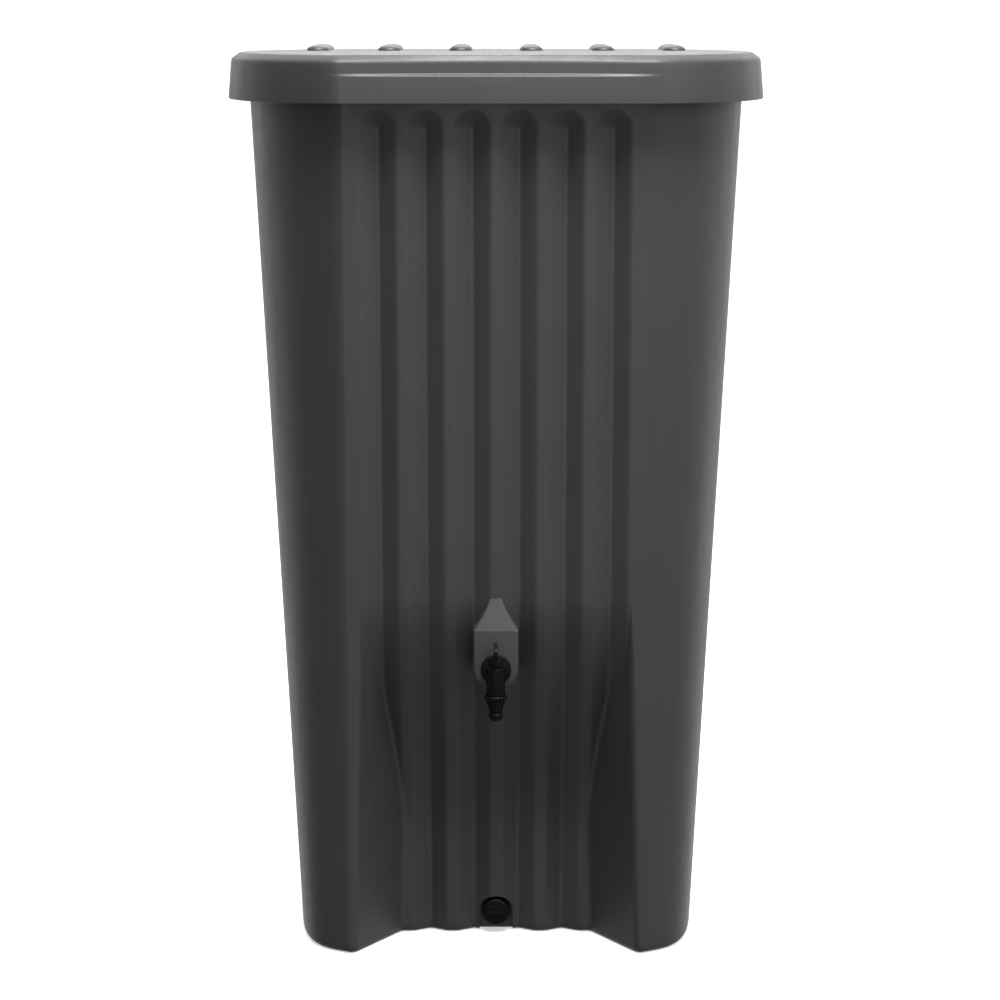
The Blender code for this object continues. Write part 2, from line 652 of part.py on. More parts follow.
def make_nozzle(material, seal):
    """Hose nozzle with its union nut and washer, under the tap's outlet."""
    axis = Matrix.Translation(TAP_AXIS + Vector((0, PLUG_Y, 0)))
    nut_top = -TAP_OUTLET_DROP - GAP
    nut_low = nut_top - NUT_HEIGHT
    washer_high = -TAP_OUTLET_DROP - SPOUT_THREAD_LENGTH - GAP
    flange_high = washer_high - NOZZLE_WASHER - GAP
    flange_low = flange_high - NOZZLE_FLANGE
    thread_bore = NOZZLE_THREAD_RADIUS + GAP
    neck_bore = NOZZLE_NECK_RADIUS + GAP
    edge = 0.001
    turned("nozzle_nut", [(neck_bore, nut_low - edge), (NUT_BODY_RADIUS - 1.5 * edge, nut_low - edge),
                          (NUT_BODY_RADIUS, nut_low), (NUT_BODY_RADIUS, nut_top - NUT_COLLAR_HEIGHT),
                          (NUT_COLLAR_RADIUS, nut_top - NUT_COLLAR_HEIGHT + edge),
                          (NUT_COLLAR_RADIUS, nut_top - edge), (NUT_COLLAR_RADIUS - edge, nut_top),
                          (thread_bore, nut_top), (thread_bore, flange_low - GAP), (neck_bore, flange_low - GAP)],
           material, 28, axis, closed=True)
    ring("nozzle_washer", NOZZLE_THREAD_RADIUS, NOZZLE_BORE_RADIUS, washer_high - NOZZLE_WASHER, washer_high,
         seal, 24, axis)
    shoulder = nut_low - edge - GAP
    tip = -NOZZLE_END_DROP
    barbs = [(NOZZLE_NECK_RADIUS, shoulder), (0.0078, shoulder), (0.0087, shoulder - 0.0018),
             (0.0074, shoulder - 0.0036), (0.0074, shoulder - 0.0072), (0.0060, shoulder - 0.0086),
             (0.0077, shoulder - 0.0104), (0.0072, tip + 0.0030), (0.0050, tip)]
    turned("hose_nozzle", [(NOZZLE_BORE_RADIUS, flange_high), (NOZZLE_THREAD_RADIUS, flange_high),
                           (NOZZLE_THREAD_RADIUS, flange_low), (NOZZLE_NECK_RADIUS, flange_low)]
           + barbs + [(NOZZLE_BORE_RADIUS, tip)], material, 28, axis, closed=True)


# ---------------------------------------------------------------- drain
def make_drain(material, seal, cap_parent):
    back = facing_front(DRAIN_AXIS + Vector((0, POCKET_Y, 0)))
    flange_low = GAP + WASHER_THICKNESS + GAP
    flange_high = flange_low + DRAIN_FLANGE_THICKNESS
    inner_end = -TANK_WALL - DRAIN_TUBE_IN
    turned("drain_socket", [(DRAIN_BORE_RADIUS, inner_end), (DRAIN_TUBE_RADIUS, inner_end),
                            (DRAIN_TUBE_RADIUS, flange_low), (DRAIN_FLANGE_RADIUS, flange_low),
                            (DRAIN_FLANGE_RADIUS, flange_high), (DRAIN_TUBE_RADIUS, flange_high),
                            (DRAIN_TUBE_RADIUS, DRAIN_TUBE_OUT), (DRAIN_BORE_RADIUS, DRAIN_TUBE_OUT)],
           material, 28, back, closed=True)
    ring("drain_outer_washer", DRAIN_FLANGE_RADIUS, DRAIN_TUBE_RADIUS + GAP, GAP, GAP + WASHER_THICKNESS,
         seal, 24, back)
    washer_high = -TANK_WALL - GAP
    ring("drain_inner_washer", DRAIN_FLANGE_RADIUS, DRAIN_TUBE_RADIUS + GAP, washer_high - WASHER_THICKNESS,
         washer_high, seal, 24, back)
    nut_high = washer_high - WASHER_THICKNESS - GAP
    hex_nut("drain_lock_nut", DRAIN_NUT_RADIUS, DRAIN_TUBE_RADIUS + GAP, nut_high - DRAIN_NUT_THICKNESS, nut_high,
            material, back)

    gasket_low = DRAIN_TUBE_OUT + GAP
    gasket_high = gasket_low + DRAIN_GASKET_THICKNESS
    gasket = ring("drain_cap_gasket", DRAIN_TUBE_RADIUS, DRAIN_BORE_RADIUS, gasket_low, gasket_high, seal, 24, back)
    hang_on(gasket, cap_parent)

    cap_low = flange_high + GAP + 0.0005
    cap_inner = gasket_high + GAP
    cap_front = cap_inner + DRAIN_CAP_END
    steps = DRAIN_CAP_RIBS * 4

    def ribbed(radius, height):
        loop = []
        for i, point in enumerate(circle(radius, height, steps)):
            sunk = (i % 4) >= 2
            scale = (radius - DRAIN_CAP_RIB_DEPTH) / radius if sunk else 1.0
            loop.append(Vector((point.x * scale, point.y * scale, height)))
        return loop

    builder = bmesh.new()
    edge = 0.0012
    bore = DRAIN_TUBE_RADIUS + GAP
    skin(builder, [circle(bore, cap_inner, steps), circle(bore, cap_low, steps),
                   ribbed(DRAIN_CAP_RADIUS, cap_low), ribbed(DRAIN_CAP_RADIUS, cap_front - edge),
                   circle(DRAIN_CAP_RADIUS - 2 * edge, cap_front, steps)])
    builder.transform(back)
    cap = add_object("drain_cap", builder, material)
    grip_half = 0.0022
    grip = [(-0.0105, -grip_half), (0.0105, -grip_half), (0.0105, grip_half), (-0.0105, grip_half)]
    builder = bmesh.new()
    skin(builder, [[Vector((x, y, z)) for x, y in grip] for z in (cap_front - 0.001, cap_front + 0.0025)])
    builder.transform(back)
    join(cap, add_object("guide_cap_grip", builder))
    hang_on(cap, cap_parent)


# ---------------------------------------------------------------- joints
def joint_parent(name, position):
    """Empty on a joint's axis, which carries the moving pieces."""
    empty = bpy.data.objects.new(name, None)
    empty.location = position
    bpy.context.scene.collection.objects.link(empty)
    return empty


def hang_on(item, parent):
    """Parent a piece to a joint empty and keep it where it is."""
    item.parent = parent
    item.matrix_parent_inverse = Matrix.Translation(-parent.location)


def main():
    clear_scene()
    shell_plastic = plastic("anthracite_shell", (0.050, 0.051, 0.053), 0.55)
    lid_plastic = plastic("anthracite_lid", (0.060, 0.061, 0.063), 0.50)
    black_plastic = plastic("black_fittings", (0.008, 0.008, 0.009), 0.40)
    black_rubber = plastic("black_rubber", (0.012, 0.012, 0.012), 0.80)

    make_tank(shell_plastic)
    lid = make_lid(lid_plastic)
    hang_on(lid, joint_parent("lid_lift", Vector((0, 0, TANK_HEIGHT))))
    make_tap(black_plastic, black_rubber)
    make_plug(black_plastic, black_rubber, joint_parent("tap_lever_turn", TAP_AXIS + Vector((0, PLUG_Y, 0))))
    make_bonnet(black_plastic)
    make_nozzle(black_plastic, black_rubber)
    make_drain(black_plastic, black_rubber, joint_parent("drain_cap_turn", DRAIN_AXIS + Vector((0, POCKET_Y, 0))))


main()
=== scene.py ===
"""Looks of the rain barrel: smooth moulded shell and lid, turned fittings, materials, light and camera."""

import json
from math import ceil, cos, hypot, pi, radians, sin

import bmesh
import bpy
from mathutils import Matrix, Vector


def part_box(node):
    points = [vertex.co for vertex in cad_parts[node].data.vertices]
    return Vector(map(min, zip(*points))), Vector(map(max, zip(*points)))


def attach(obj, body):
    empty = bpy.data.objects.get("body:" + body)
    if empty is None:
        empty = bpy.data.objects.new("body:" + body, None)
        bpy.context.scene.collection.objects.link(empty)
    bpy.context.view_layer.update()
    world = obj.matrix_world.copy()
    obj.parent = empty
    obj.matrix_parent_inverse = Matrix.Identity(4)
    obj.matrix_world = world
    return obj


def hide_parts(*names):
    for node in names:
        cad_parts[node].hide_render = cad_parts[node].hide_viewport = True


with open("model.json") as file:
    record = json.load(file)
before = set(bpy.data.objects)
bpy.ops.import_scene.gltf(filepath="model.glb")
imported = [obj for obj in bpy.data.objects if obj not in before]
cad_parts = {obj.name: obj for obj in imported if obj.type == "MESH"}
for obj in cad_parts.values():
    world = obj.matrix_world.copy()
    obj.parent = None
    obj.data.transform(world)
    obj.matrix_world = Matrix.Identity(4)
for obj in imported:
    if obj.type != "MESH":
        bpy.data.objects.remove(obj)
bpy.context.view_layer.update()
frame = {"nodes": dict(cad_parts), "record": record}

# ---------------------------------------------------------------- sizes taken from the frame
tank_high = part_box("tank")[1]
lid_low, lid_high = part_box("lid")
flange_low, flange_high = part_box("tap_outer_washer")
plug_low, plug_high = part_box("tap_plug")
bonnet_low, bonnet_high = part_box("tap_bonnet")
body_low, body_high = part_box("tap_body")
lever_low, lever_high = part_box("tap_lever")
nut_low, nut_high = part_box("nozzle_nut")
nozzle_low, nozzle_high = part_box("hose_nozzle")
socket_low, socket_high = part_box("drain_socket")
drain_washer_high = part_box("drain_outer_washer")[1]
cap_low, cap_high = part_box("drain_cap")
gasket_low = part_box("drain_cap_gasket")[0]

GAP = 0.0003
TANK_HEIGHT = tank_high.z
TAP_AXIS = Vector((0, 0, (flange_low.z + flange_high.z) / 2))
BOSS_FACE_Y = flange_high.y + GAP
PLUG_Y = (plug_low.y + plug_high.y) / 2
DRAIN_AXIS = Vector((0, 0, (socket_low.z + socket_high.z) / 2))
POCKET_Y = drain_washer_high.y + GAP

# Tank
WALL = 0.004
FLOOR = 0.005
RIM_OVERHANG = 0.009
RIM_BELOW = 0.028
RIM_CHAMFER = 0.006
BASE_HALF_WIDTH = 0.2252
RIM_HALF_WIDTH = tank_high.x - RIM_OVERHANG + GAP
BASE_HALF_DEPTH = 0.1725
RIM_HALF_DEPTH = 0.209
FLAT_HALF_WIDTH = 0.165         # half of the straight front and back
CORNER_KINK = radians(26)       # turn at the end of the straight part
BASE_CORNER_LEAD = 0.042        # how far a corner keeps its first direction
RIM_CORNER_LEAD = 0.105
BASE_SIDE_LEAD = 0.144          # how far the side keeps its straight middle
RIM_SIDE_LEAD = 0.055
BASE_EDGE_RADIUS = 0.008
FLUTE_PITCH = 0.050
FLUTE_COUNT = 6
FLUTE_HALF_WIDTH = 0.019
FLUTE_ROOT_HALF_WIDTH = 0.0015
FLUTE_DEPTH = 0.010
FLUTE_APEX = TANK_HEIGHT - 0.0542 - FLUTE_HALF_WIDTH
FLUTE_CENTRES = [(i - (FLUTE_COUNT - 1) / 2) * FLUTE_PITCH for i in range(FLUTE_COUNT)]
LEG_SET_BACK = 0.0765
LEG_TOP = 0.412
LEG_FULL = 0.120
LEG_EDGE_BASE = 0.1580
LEG_EDGE_TOP = 0.1475
LEG_FLANK_RUN = 0.65
LEG_BLEND = 0.007               # softness of the crease between a leg and the fluted panel
LEG_EDGE_BLEND = 0.006

# Boss and drain pocket
BOSS_HALF_WIDTH = 0.0245
BOSS_WALL = 0.005
BOSS_RISE = 0.043
BOSS_HOOD_RISE = 0.034
BOSS_HOOD_TIP_HALF_WIDTH = 0.007
POCKET_RADIUS = 0.0190

# Tap and drain
AXIS_HOLE = 0.0002              # a turned profile stops this short of its axis
CUT_PAST = 0.01                 # how far a cutter reaches past the face it opens
PLUG_CLEARANCE = 0.0004
SPOUT_THREAD_RADIUS = 0.0078
NUT_BODY_RADIUS = 0.0103
NUT_BORE_RADIUS = 0.0081
NUT_NECK_RADIUS = 0.0073
NUT_COLLAR_HEIGHT = 0.0045
NUT_SEAT_DEPTH = 0.0079
NUT_RIB_COUNT = 16
NOZZLE_BORE_RADIUS = 0.0042
BONNET_HOLE_RADIUS = 0.0050
CAP_BORE_RADIUS = 0.0103
CAP_RIB_COUNT = 18
CAP_GRIP_RISE = 0.0025
CAP_GRIP_HALF_LENGTH = 0.0105
CAP_GRIP_HALF_WIDTH = 0.0022

# Lid
LID_WALL = 0.0035
LID_DRAFT = 0.0037
LID_CHAMFER_RUN = 0.010
LID_CHAMFER_DROP = 0.0070
LID_NOTCH_HALF_WIDTH = 0.182
LID_LEDGE_HEIGHT = 0.0026
LID_NOTCH_DEPTH = 0.0045
LID_NOTCH_DROP = 0.0210
LID_TOP = TANK_HEIGHT + GAP + LID_WALL
LID_RIB_COUNT = 6
LID_RIB_PITCH = 0.0815
LID_RIB_LENGTH = 0.130
LID_RIB_RADIUS = 0.0130
LID_RIB_HEIGHT = lid_high.z - LID_TOP
LID_RIB_CENTRE_Y = 0.115


# ---------------------------------------------------------------- small maths
def clamp(value, low=0.0, high=1.0):
    return min(high, max(low, value))


def smooth_step(value):
    t = clamp(value)
    return t * t * (3 - 2 * t)


def soft_min(a, b, width):
    """Smaller of two values, rounded where they cross."""
    share = max(0.0, width - abs(a - b)) / width
    return min(a, b) - share * share * width / 4


def soft_max(a, b, width):
    return -soft_min(-a, -b, width)


def spread(low, high, step):
    """Evenly spaced values from low to high, at most step apart."""
    count = max(1, ceil((high - low) / step))
    return [low + (high - low) * i / count for i in range(count + 1)]


# ---------------------------------------------------------------- mesh helpers
def make_mesh(name, builder, angle=32):
    """Turn a bmesh into a smooth-shaded object with sharp edges kept."""
    bmesh.ops.recalc_face_normals(builder, faces=builder.faces[:])
    mesh = bpy.data.meshes.new(name)
    builder.to_mesh(mesh)
    builder.free()
    mesh.shade_smooth()
    mesh.set_sharp_from_angle(angle=radians(angle))
    item = bpy.data.objects.new(name, mesh)
    bpy.context.scene.collection.objects.link(item)
    return item


def skin(builder, loops, closed=False):
    """Join equally long closed loops of points with quads, and cap the ends unless they meet."""
    rings = [[builder.verts.new(point) for point in loop] for loop in loops]
    count = len(rings[0])
    pairs = list(zip(rings, rings[1:]))
    if closed:
        pairs.append((rings[-1], rings[0]))
    for low, high in pairs:
        for i in range(count):
            j = (i + 1) % count
            builder.faces.new((low[i], low[j], high[j], high[i]))
    if not closed:
        builder.faces.new(rings[0][::-1])
        builder.faces.new(rings[-1])
    return rings


def bake(item, angle=32):
    """Apply an object's modifiers to its mesh and remove the guide objects."""
    depsgraph = bpy.context.evaluated_depsgraph_get()
    mesh = bpy.data.meshes.new_from_object(item.evaluated_get(depsgraph))
    guides = [m.object for m in item.modifiers if m.type == 'BOOLEAN']
    item.modifiers.clear()
    item.data = mesh
    mesh.shade_smooth()
    mesh.set_sharp_from_angle(angle=radians(angle))
    for guide in guides:
        bpy.data.objects.remove(guide, do_unlink=True)
    return item


def combine(target, guide, operation):
    """Add a Boolean modifier that bake applies later."""
    modifier = target.modifiers.new(operation.lower(), 'BOOLEAN')
    modifier.operation = operation
    modifier.solver = 'MANIFOLD'
    modifier.object = guide


def cut(target, guide):
    combine(target, guide, 'DIFFERENCE')


def join(target, guide):
    combine(target, guide, 'UNION')


def rounded(profile, radius, closed=False, steps=4):
    """The same outline with each corner replaced by a short arc-like curve."""
    points = [Vector(p) for p in profile]
    count = len(points)
    result = []
    for i, corner in enumerate(points):
        if not closed and i in (0, count - 1):
            result.append(corner)
            continue
        before = points[i - 1] - corner
        after = points[(i + 1) % count] - corner
        reach = min(radius, before.length * 0.45, after.length * 0.45)
        start = corner + before.normalized() * reach
        end = corner + after.normalized() * reach
        for step in range(steps + 1):
            t = step / steps
            result.append(start.lerp(corner, t).lerp(corner.lerp(end, t), t))
    return result


def circle(radius, height, steps, modulate=None):
    points = []
    for i in range(steps):
        angle = 2 * pi * i / steps
        r = radius + (modulate(angle) if modulate else 0)
        points.append(Vector((r * cos(angle), r * sin(angle), height)))
    return points


def turned(name, profile, to_world, steps=72, edge=0.0005, closed=False, modulate=None):
    """Solid of revolution about Z from (radius, height) pairs with rounded edges, placed by to_world."""
    builder = bmesh.new()
    shape = rounded(profile, edge, closed)
    skin(builder, [circle(r, h, steps, modulate and modulate(h)) for r, h in shape], closed)
    builder.transform(to_world)
    return make_mesh(name, builder)


def cylinder(radius, low, high):
    """Profile of a plain cylinder, for turned."""
    return [(AXIS_HOLE, low), (radius, low), (radius, high), (AXIS_HOLE, high)]


def prism(name, outline, low, high, to_world=Matrix()):
    """Solid along Z from an (x, y) outline."""
    builder = bmesh.new()
    skin(builder, [[Vector((x, y, z)) for x, y in outline] for z in (low, high)])
    builder.transform(to_world)
    return make_mesh(name, builder)


def facing_front(origin):
    """Places a piece turned about Z so that its Z axis points towards -Y at origin."""
    return Matrix.Translation(origin) @ Matrix.Rotation(pi / 2, 4, 'X')


# ---------------------------------------------------------------- tank shell
def plan_at(height):
    """Half width, half depth, corner lead and side lead of the tank's outside at a height."""
    t = height / TANK_HEIGHT
    ends = ((BASE_HALF_WIDTH, RIM_HALF_WIDTH), (BASE_HALF_DEPTH, RIM_HALF_DEPTH),
            (BASE_CORNER_LEAD, RIM_CORNER_LEAD), (BASE_SIDE_LEAD, RIM_SIDE_LEAD))
    return [low + (high - low) * t for low, high in ends]


def corner_points(plan, offset, steps):
    """Front right corner, from the straight front to the middle of the side, moved out by offset."""
    half_width, half_depth, corner_lead, side_lead = plan
    start = Vector((FLAT_HALF_WIDTH, -half_depth))
    end = Vector((half_width, 0))
    first = start + corner_lead * Vector((cos(CORNER_KINK), sin(CORNER_KINK)))
    last = end - side_lead * Vector((0, 1))
    points = []
    for step in range(steps + 1):
        t = step / steps
        u = 1 - t
        point = u ** 3 * start + 3 * u * u * t * first + 3 * u * t * t * last + t ** 3 * end
        along = u * u * (first - start) + 2 * u * t * (last - first) + t * t * (end - last)
        along.normalize()
        points.append((point.x + along.y * offset, point.y - along.x * offset))
    return points


def plan_loop(plan, offset, height, front, back, corner_steps=24):
    """Closed loop at one height. The front and back are (x, set-back) pairs, from left to right."""
    reach = plan[1] + offset
    corner = corner_points(plan, offset, corner_steps)
    returning = corner[-2::-1]
    points = [(x, -reach + shift) for x, shift in front] + corner
    points += [(x, -y) for x, y in returning] + [(x, reach - shift) for x, shift in back[::-1]]
    points += [(-x, -y) for x, y in corner] + [(-x, y) for x, y in returning]
    return [Vector((x, y, height)) for x, y in points]


def flute_depth(x, height):
    """Soft-edged V flutes, whose upper ends are half cones."""
    nearest = min(FLUTE_CENTRES, key=lambda centre: abs(x - centre))
    distance = hypot(x - nearest, max(0.0, height - FLUTE_APEX))
    slope = (FLUTE_HALF_WIDTH - distance) / (FLUTE_HALF_WIDTH - FLUTE_ROOT_HALF_WIDTH)
    return FLUTE_DEPTH * soft_max(0.0, soft_min(1.0, slope, 0.10), 0.16)


def front_set_back(x, height, edge_shift=0.0):
    recess = LEG_SET_BACK * smooth_step((LEG_TOP - height) / (LEG_TOP - LEG_FULL))
    edge = LEG_EDGE_BASE + (LEG_EDGE_TOP - LEG_EDGE_BASE) * clamp(height / LEG_TOP) + edge_shift
    flank = (edge - abs(x)) / LEG_FLANK_RUN
    panel = recess + flute_depth(x, height)
    blend = min(LEG_BLEND, recess * 0.5) + 1e-6
    return soft_max(0.0, soft_min(panel, flank, blend), min(LEG_EDGE_BLEND, recess * 0.5) + 1e-6)


def tank_levels(fine):
    """Heights of the wall's loops, closer together where the legs and the flutes' ends curve."""
    legs = spread(0.016, LEG_TOP + 0.02, 0.005 if fine else 0.04)
    straight = spread(LEG_TOP + 0.02, FLUTE_APEX - 0.006, 0.03 if fine else 0.25)[1:]
    ends = spread(FLUTE_APEX - 0.006, FLUTE_APEX + FLUTE_HALF_WIDTH + 0.004, 0.0015 if fine else 0.009)[1:]
    return legs + straight + ends


def make_tank():
    end = FLAT_HALF_WIDTH - WALL
    columns = spread(-end, end, 0.0010)
    rear_columns = spread(-end, end, 0.0022)
    flank_shift = WALL * (hypot(1, LEG_FLANK_RUN) - LEG_FLANK_RUN)

    def loop(height, offset, edge_shift=0.0):
        front = [(x, front_set_back(x, height, edge_shift)) for x in columns]
        back = [(x, flute_depth(x, height)) for x in rear_columns]
        return plan_loop(plan_at(height), offset, height, front, back)

    radius = BASE_EDGE_RADIUS
    quarter = [pi / 2 * step / 6 for step in range(7)]
    outside = [loop(radius * (1 - cos(a)), -radius * (1 - sin(a))) for a in quarter]
    outside += [loop(height, 0) for height in tank_levels(True)]
    under = TANK_HEIGHT - RIM_BELOW
    profile = rounded([(0, under - 0.012), (0, under - RIM_OVERHANG * 0.4), (RIM_OVERHANG, under),
                       (RIM_OVERHANG, TANK_HEIGHT - RIM_CHAMFER),
                       (RIM_OVERHANG - RIM_CHAMFER, TANK_HEIGHT), (-WALL, TANK_HEIGHT),
                       (-WALL, TANK_HEIGHT - 0.02)], 0.0015)
    rim = [loop(height, offset) for offset, height in profile]
    inside = [loop(height, -WALL, flank_shift) for height in tank_levels(False)[::-1]]
    inside += [loop(FLOOR + radius * (1 - sin(a)), -WALL - radius * (1 - cos(a)) * 0.6, flank_shift)
               for a in (0.0, pi / 4, pi / 2)]
    builder = bmesh.new()
    skin(builder, outside + rim + inside)
    tank = make_mesh("tank_shell", builder)
    rear = -RIM_HALF_DEPTH + 0.055
    join(tank, boss_block("guide_boss", rear))
    join(tank, hood_block("guide_hood"))
    cut(tank, prism("guide_cavity", boss_outline(-WALL), -(-RIM_HALF_DEPTH + 0.080), -(BOSS_FACE_Y + BOSS_WALL),
                    Matrix.Rotation(pi / 2, 4, 'X')))
    pocket_wall = arch_outline(POCKET_RADIUS + WALL, FLOOR * 0.5)
    wall_front = -(BASE_HALF_DEPTH - LEG_SET_BACK) + FLUTE_DEPTH + WALL * 0.5
    join(tank, prism("guide_pocket_wall", pocket_wall, -(POCKET_Y + WALL), -wall_front,
                     Matrix.Rotation(pi / 2, 4, 'X')))
    cut(tank, prism("guide_pocket", arch_outline(POCKET_RADIUS, -0.01), -POCKET_Y, BASE_HALF_DEPTH,
                    Matrix.Rotation(pi / 2, 4, 'X')))
    return bake(tank)


def boss_outline(grow, steps=40):
    """(x, z) outline of the tap boss: round below, straight sides, flat above."""
    width = BOSS_HALF_WIDTH + grow
    top = TAP_AXIS.z + BOSS_RISE + grow
    angles = [pi + pi * i / steps for i in range(steps + 1)]
    return [(width * cos(a), TAP_AXIS.z + width * sin(a)) for a in angles] + [(width, top), (-width, top)]


def boss_block(name, rear):
    """Boss block with a softly rounded front edge."""
    edge = 0.0022
    builder = bmesh.new()
    loops = []
    for step in range(5):
        a = pi / 2 * step / 4
        outline = boss_outline(-edge * (1 - sin(a)))
        loops.append([Vector((x, BOSS_FACE_Y + edge * (1 - cos(a)), z)) for x, z in outline])
    loops.append([Vector((x, rear, z)) for x, z in boss_outline(0)])
    skin(builder, loops)
    return make_mesh(name, builder)


def hood_block(name):
    """Solid under the hood, a stack of narrowing loops from the boss's upper edge to the tip."""
    base = TAP_AXIS.z + BOSS_RISE - 0.001
    steps = 20
    tip_y = -plan_at(base + BOSS_HOOD_RISE)[1] - GAP
    rear = tip_y + WALL * 0.9 + 0.010
    loops = []
    for step in range(steps + 1):
        t = step / steps
        half = BOSS_HOOD_TIP_HALF_WIDTH + (BOSS_HALF_WIDTH - BOSS_HOOD_TIP_HALF_WIDTH) * (1 - t) ** 1.3
        height = base + BOSS_HOOD_RISE * t
        face = BOSS_FACE_Y + (tip_y - BOSS_FACE_Y) * t
        round_off = min(0.0022, half * 0.5)
        corners = [(-half, rear), (-half, face), (half, face), (half, rear)]
        loops.append([Vector((x, y, height)) for x, y in rounded(corners, round_off)])
    builder = bmesh.new()
    skin(builder, loops)
    return make_mesh(name, builder)


def arch_outline(radius, foot, steps=40):
    """(x, z) outline of an arch standing on height foot, centred on the drain's axis."""
    arc = [(radius * cos(a), DRAIN_AXIS.z + radius * sin(a)) for a in [pi * i / steps for i in range(steps + 1)]]
    return [(-radius, foot), (radius, foot)] + arc


# ---------------------------------------------------------------- lid
def notch_set_back(x):
    return LID_NOTCH_DEPTH * clamp(1 - (x / LID_NOTCH_HALF_WIDTH) ** 2)


def make_lid():
    """Even-walled cover with a drafted skirt, a chamfer and a notch along the front, and domed ribs."""
    plan = plan_at(TANK_HEIGHT)
    reach = lid_high.x - LID_DRAFT - plan[0]
    skirt_foot = lid_low.z
    ledge = LID_TOP - LID_NOTCH_DROP
    shoulder = LID_TOP - LID_CHAMFER_DROP
    half_ledge = LID_LEDGE_HEIGHT / 2
    columns = spread(-FLAT_HALF_WIDTH, FLAT_HALF_WIDTH, 0.003)
    back = [(x, 0) for x in spread(-FLAT_HALF_WIDTH, FLAT_HALF_WIDTH, 0.02)]
    draft = LID_DRAFT / (shoulder - skirt_foot)

    def loop(inset, height, notch):
        front = [(x, notch_set_back(x) * notch) for x in columns]
        offset = reach + draft * (shoulder - min(height, shoulder)) - inset
        return plan_loop(plan, offset, height, front, back)

    wall = LID_WALL
    # (inset, height, share of the notch) from the inner ceiling down, round the foot and up to the top
    profile = [(LID_CHAMFER_RUN + wall * 0.5, LID_TOP - wall, 0), (wall, shoulder - wall * 0.5, 1),
               (wall, ledge + half_ledge - wall * 0.5, 1), (wall, ledge - half_ledge - wall * 0.5, 0),
               (wall, skirt_foot, 0), (0, skirt_foot, 0), (0, ledge - half_ledge, 0), (0, ledge + half_ledge, 1),
               (0, shoulder, 1), (LID_CHAMFER_RUN, LID_TOP, 0), (LID_CHAMFER_RUN + 0.004, LID_TOP, 0)]
    radii = (0, 0.002, 0.001, 0.001, 0.0012, 0.0012, 0.0006, 0.0008, 0.0030, 0.0035, 0)
    shape = []
    for i, point in enumerate(profile):
        if i in (0, len(profile) - 1):
            shape.append(Vector(point))
            continue
        triple = [Vector((p[0], p[1], p[2] * 0.004)) for p in profile[i - 1:i + 2]]
        corner_points = rounded(triple, radii[i])[1:-1]
        shape += [Vector((p.x, p.y, p.z / 0.004)) for p in corner_points]
    builder = bmesh.new()
    skin(builder, [loop(*point) for point in shape])
    lid = make_mesh("lid_cover", builder)
    for index in range(LID_RIB_COUNT):
        x = (index - (LID_RIB_COUNT - 1) / 2) * LID_RIB_PITCH
        join(lid, rib_block("guide_rib_%d" % (index + 1), x))
    return bake(lid)


def rib_block(name, x):
    """Low domed rib with round ends, its foot flowing into the lid's top."""
    straight = LID_RIB_LENGTH / 2 - LID_RIB_RADIUS
    loops = []
    for radius, rise in [(LID_RIB_RADIUS, -LID_WALL * 0.4)] + [
            (LID_RIB_RADIUS * cos(a), LID_RIB_HEIGHT * sin(a)) for a in [pi / 2 * i / 14 for i in range(14)]] + [
            (LID_RIB_RADIUS * 0.04, LID_RIB_HEIGHT)]:
        loop = []
        for end, first in ((1, 0.0), (-1, pi)):
            for step in range(17):
                angle = first + pi * step / 16
                y = LID_RIB_CENTRE_Y + end * straight + radius * sin(angle)
                loop.append(Vector((x + radius * cos(angle), y, LID_TOP + rise)))
        loops.append(loop)
    builder = bmesh.new()
    skin(builder, loops)
    return make_mesh(name, builder)


# ---------------------------------------------------------------- tap pieces
def make_tap_body():
    face = TAP_AXIS + Vector((0, BOSS_FACE_Y, 0))
    front = facing_front(face)
    plug_axis = Matrix.Translation(TAP_AXIS + Vector((0, PLUG_Y, 0)))
    reach = BOSS_FACE_Y - PLUG_Y
    flange_back = BOSS_FACE_Y - flange_low.y + GAP
    flange_radius = body_high.x
    flange_thick = 0.004
    neck = 0.0090
    waterway = 0.0050
    shank = 0.0105
    inside = BOSS_FACE_Y - body_high.y
    body = turned("tap_body_moulded", [(AXIS_HOLE, inside), (shank, inside), (shank, flange_back),
                                       (flange_radius, flange_back), (flange_radius, flange_back + flange_thick),
                                       (shank, flange_back + flange_thick + 0.0006),
                                       (neck, flange_back + flange_thick + 0.0030),
                                       (neck, reach), (AXIS_HOLE, reach)], front, edge=0.0007)
    top = bonnet_low.z - GAP - TAP_AXIS.z
    spout_low = body_low.z - TAP_AXIS.z
    drop = nut_high.z + GAP - TAP_AXIS.z
    housing_radius = 0.0100
    join(body, turned("guide_housing", [(AXIS_HOLE, spout_low), (SPOUT_THREAD_RADIUS, spout_low),
                                        (SPOUT_THREAD_RADIUS, drop), (housing_radius, drop),
                                        (housing_radius, top), (AXIS_HOLE, top)],
                      plug_axis, edge=0.0006))
    # A strengthening web under the neck, as moulded taps have
    web_root = BOSS_FACE_Y - 0.0055
    web_drop = 0.0148
    web_rise = 0.0042
    web_half = 0.0014
    web = [(PLUG_Y, -web_drop), (web_root, -web_drop + web_rise), (web_root, 0.0), (PLUG_Y, 0.0)]
    builder = bmesh.new()
    skin(builder, [[Vector((x, y, TAP_AXIS.z + z)) for y, z in web] for x in (-web_half, web_half)])
    join(body, make_mesh("guide_web", builder))
    bore = plug_high.x + PLUG_CLEARANCE
    seat = plug_low.z - TAP_AXIS.z - GAP
    cut(body, turned("guide_bore", cylinder(bore, seat, top + CUT_PAST), plug_axis, edge=0))
    cut(body, turned("guide_outlet", cylinder(waterway, spout_low - CUT_PAST, 0), plug_axis, edge=0))
    cut(body, turned("guide_inlet", cylinder(waterway, inside - CUT_PAST, reach), front, edge=0))
    return bake(body)


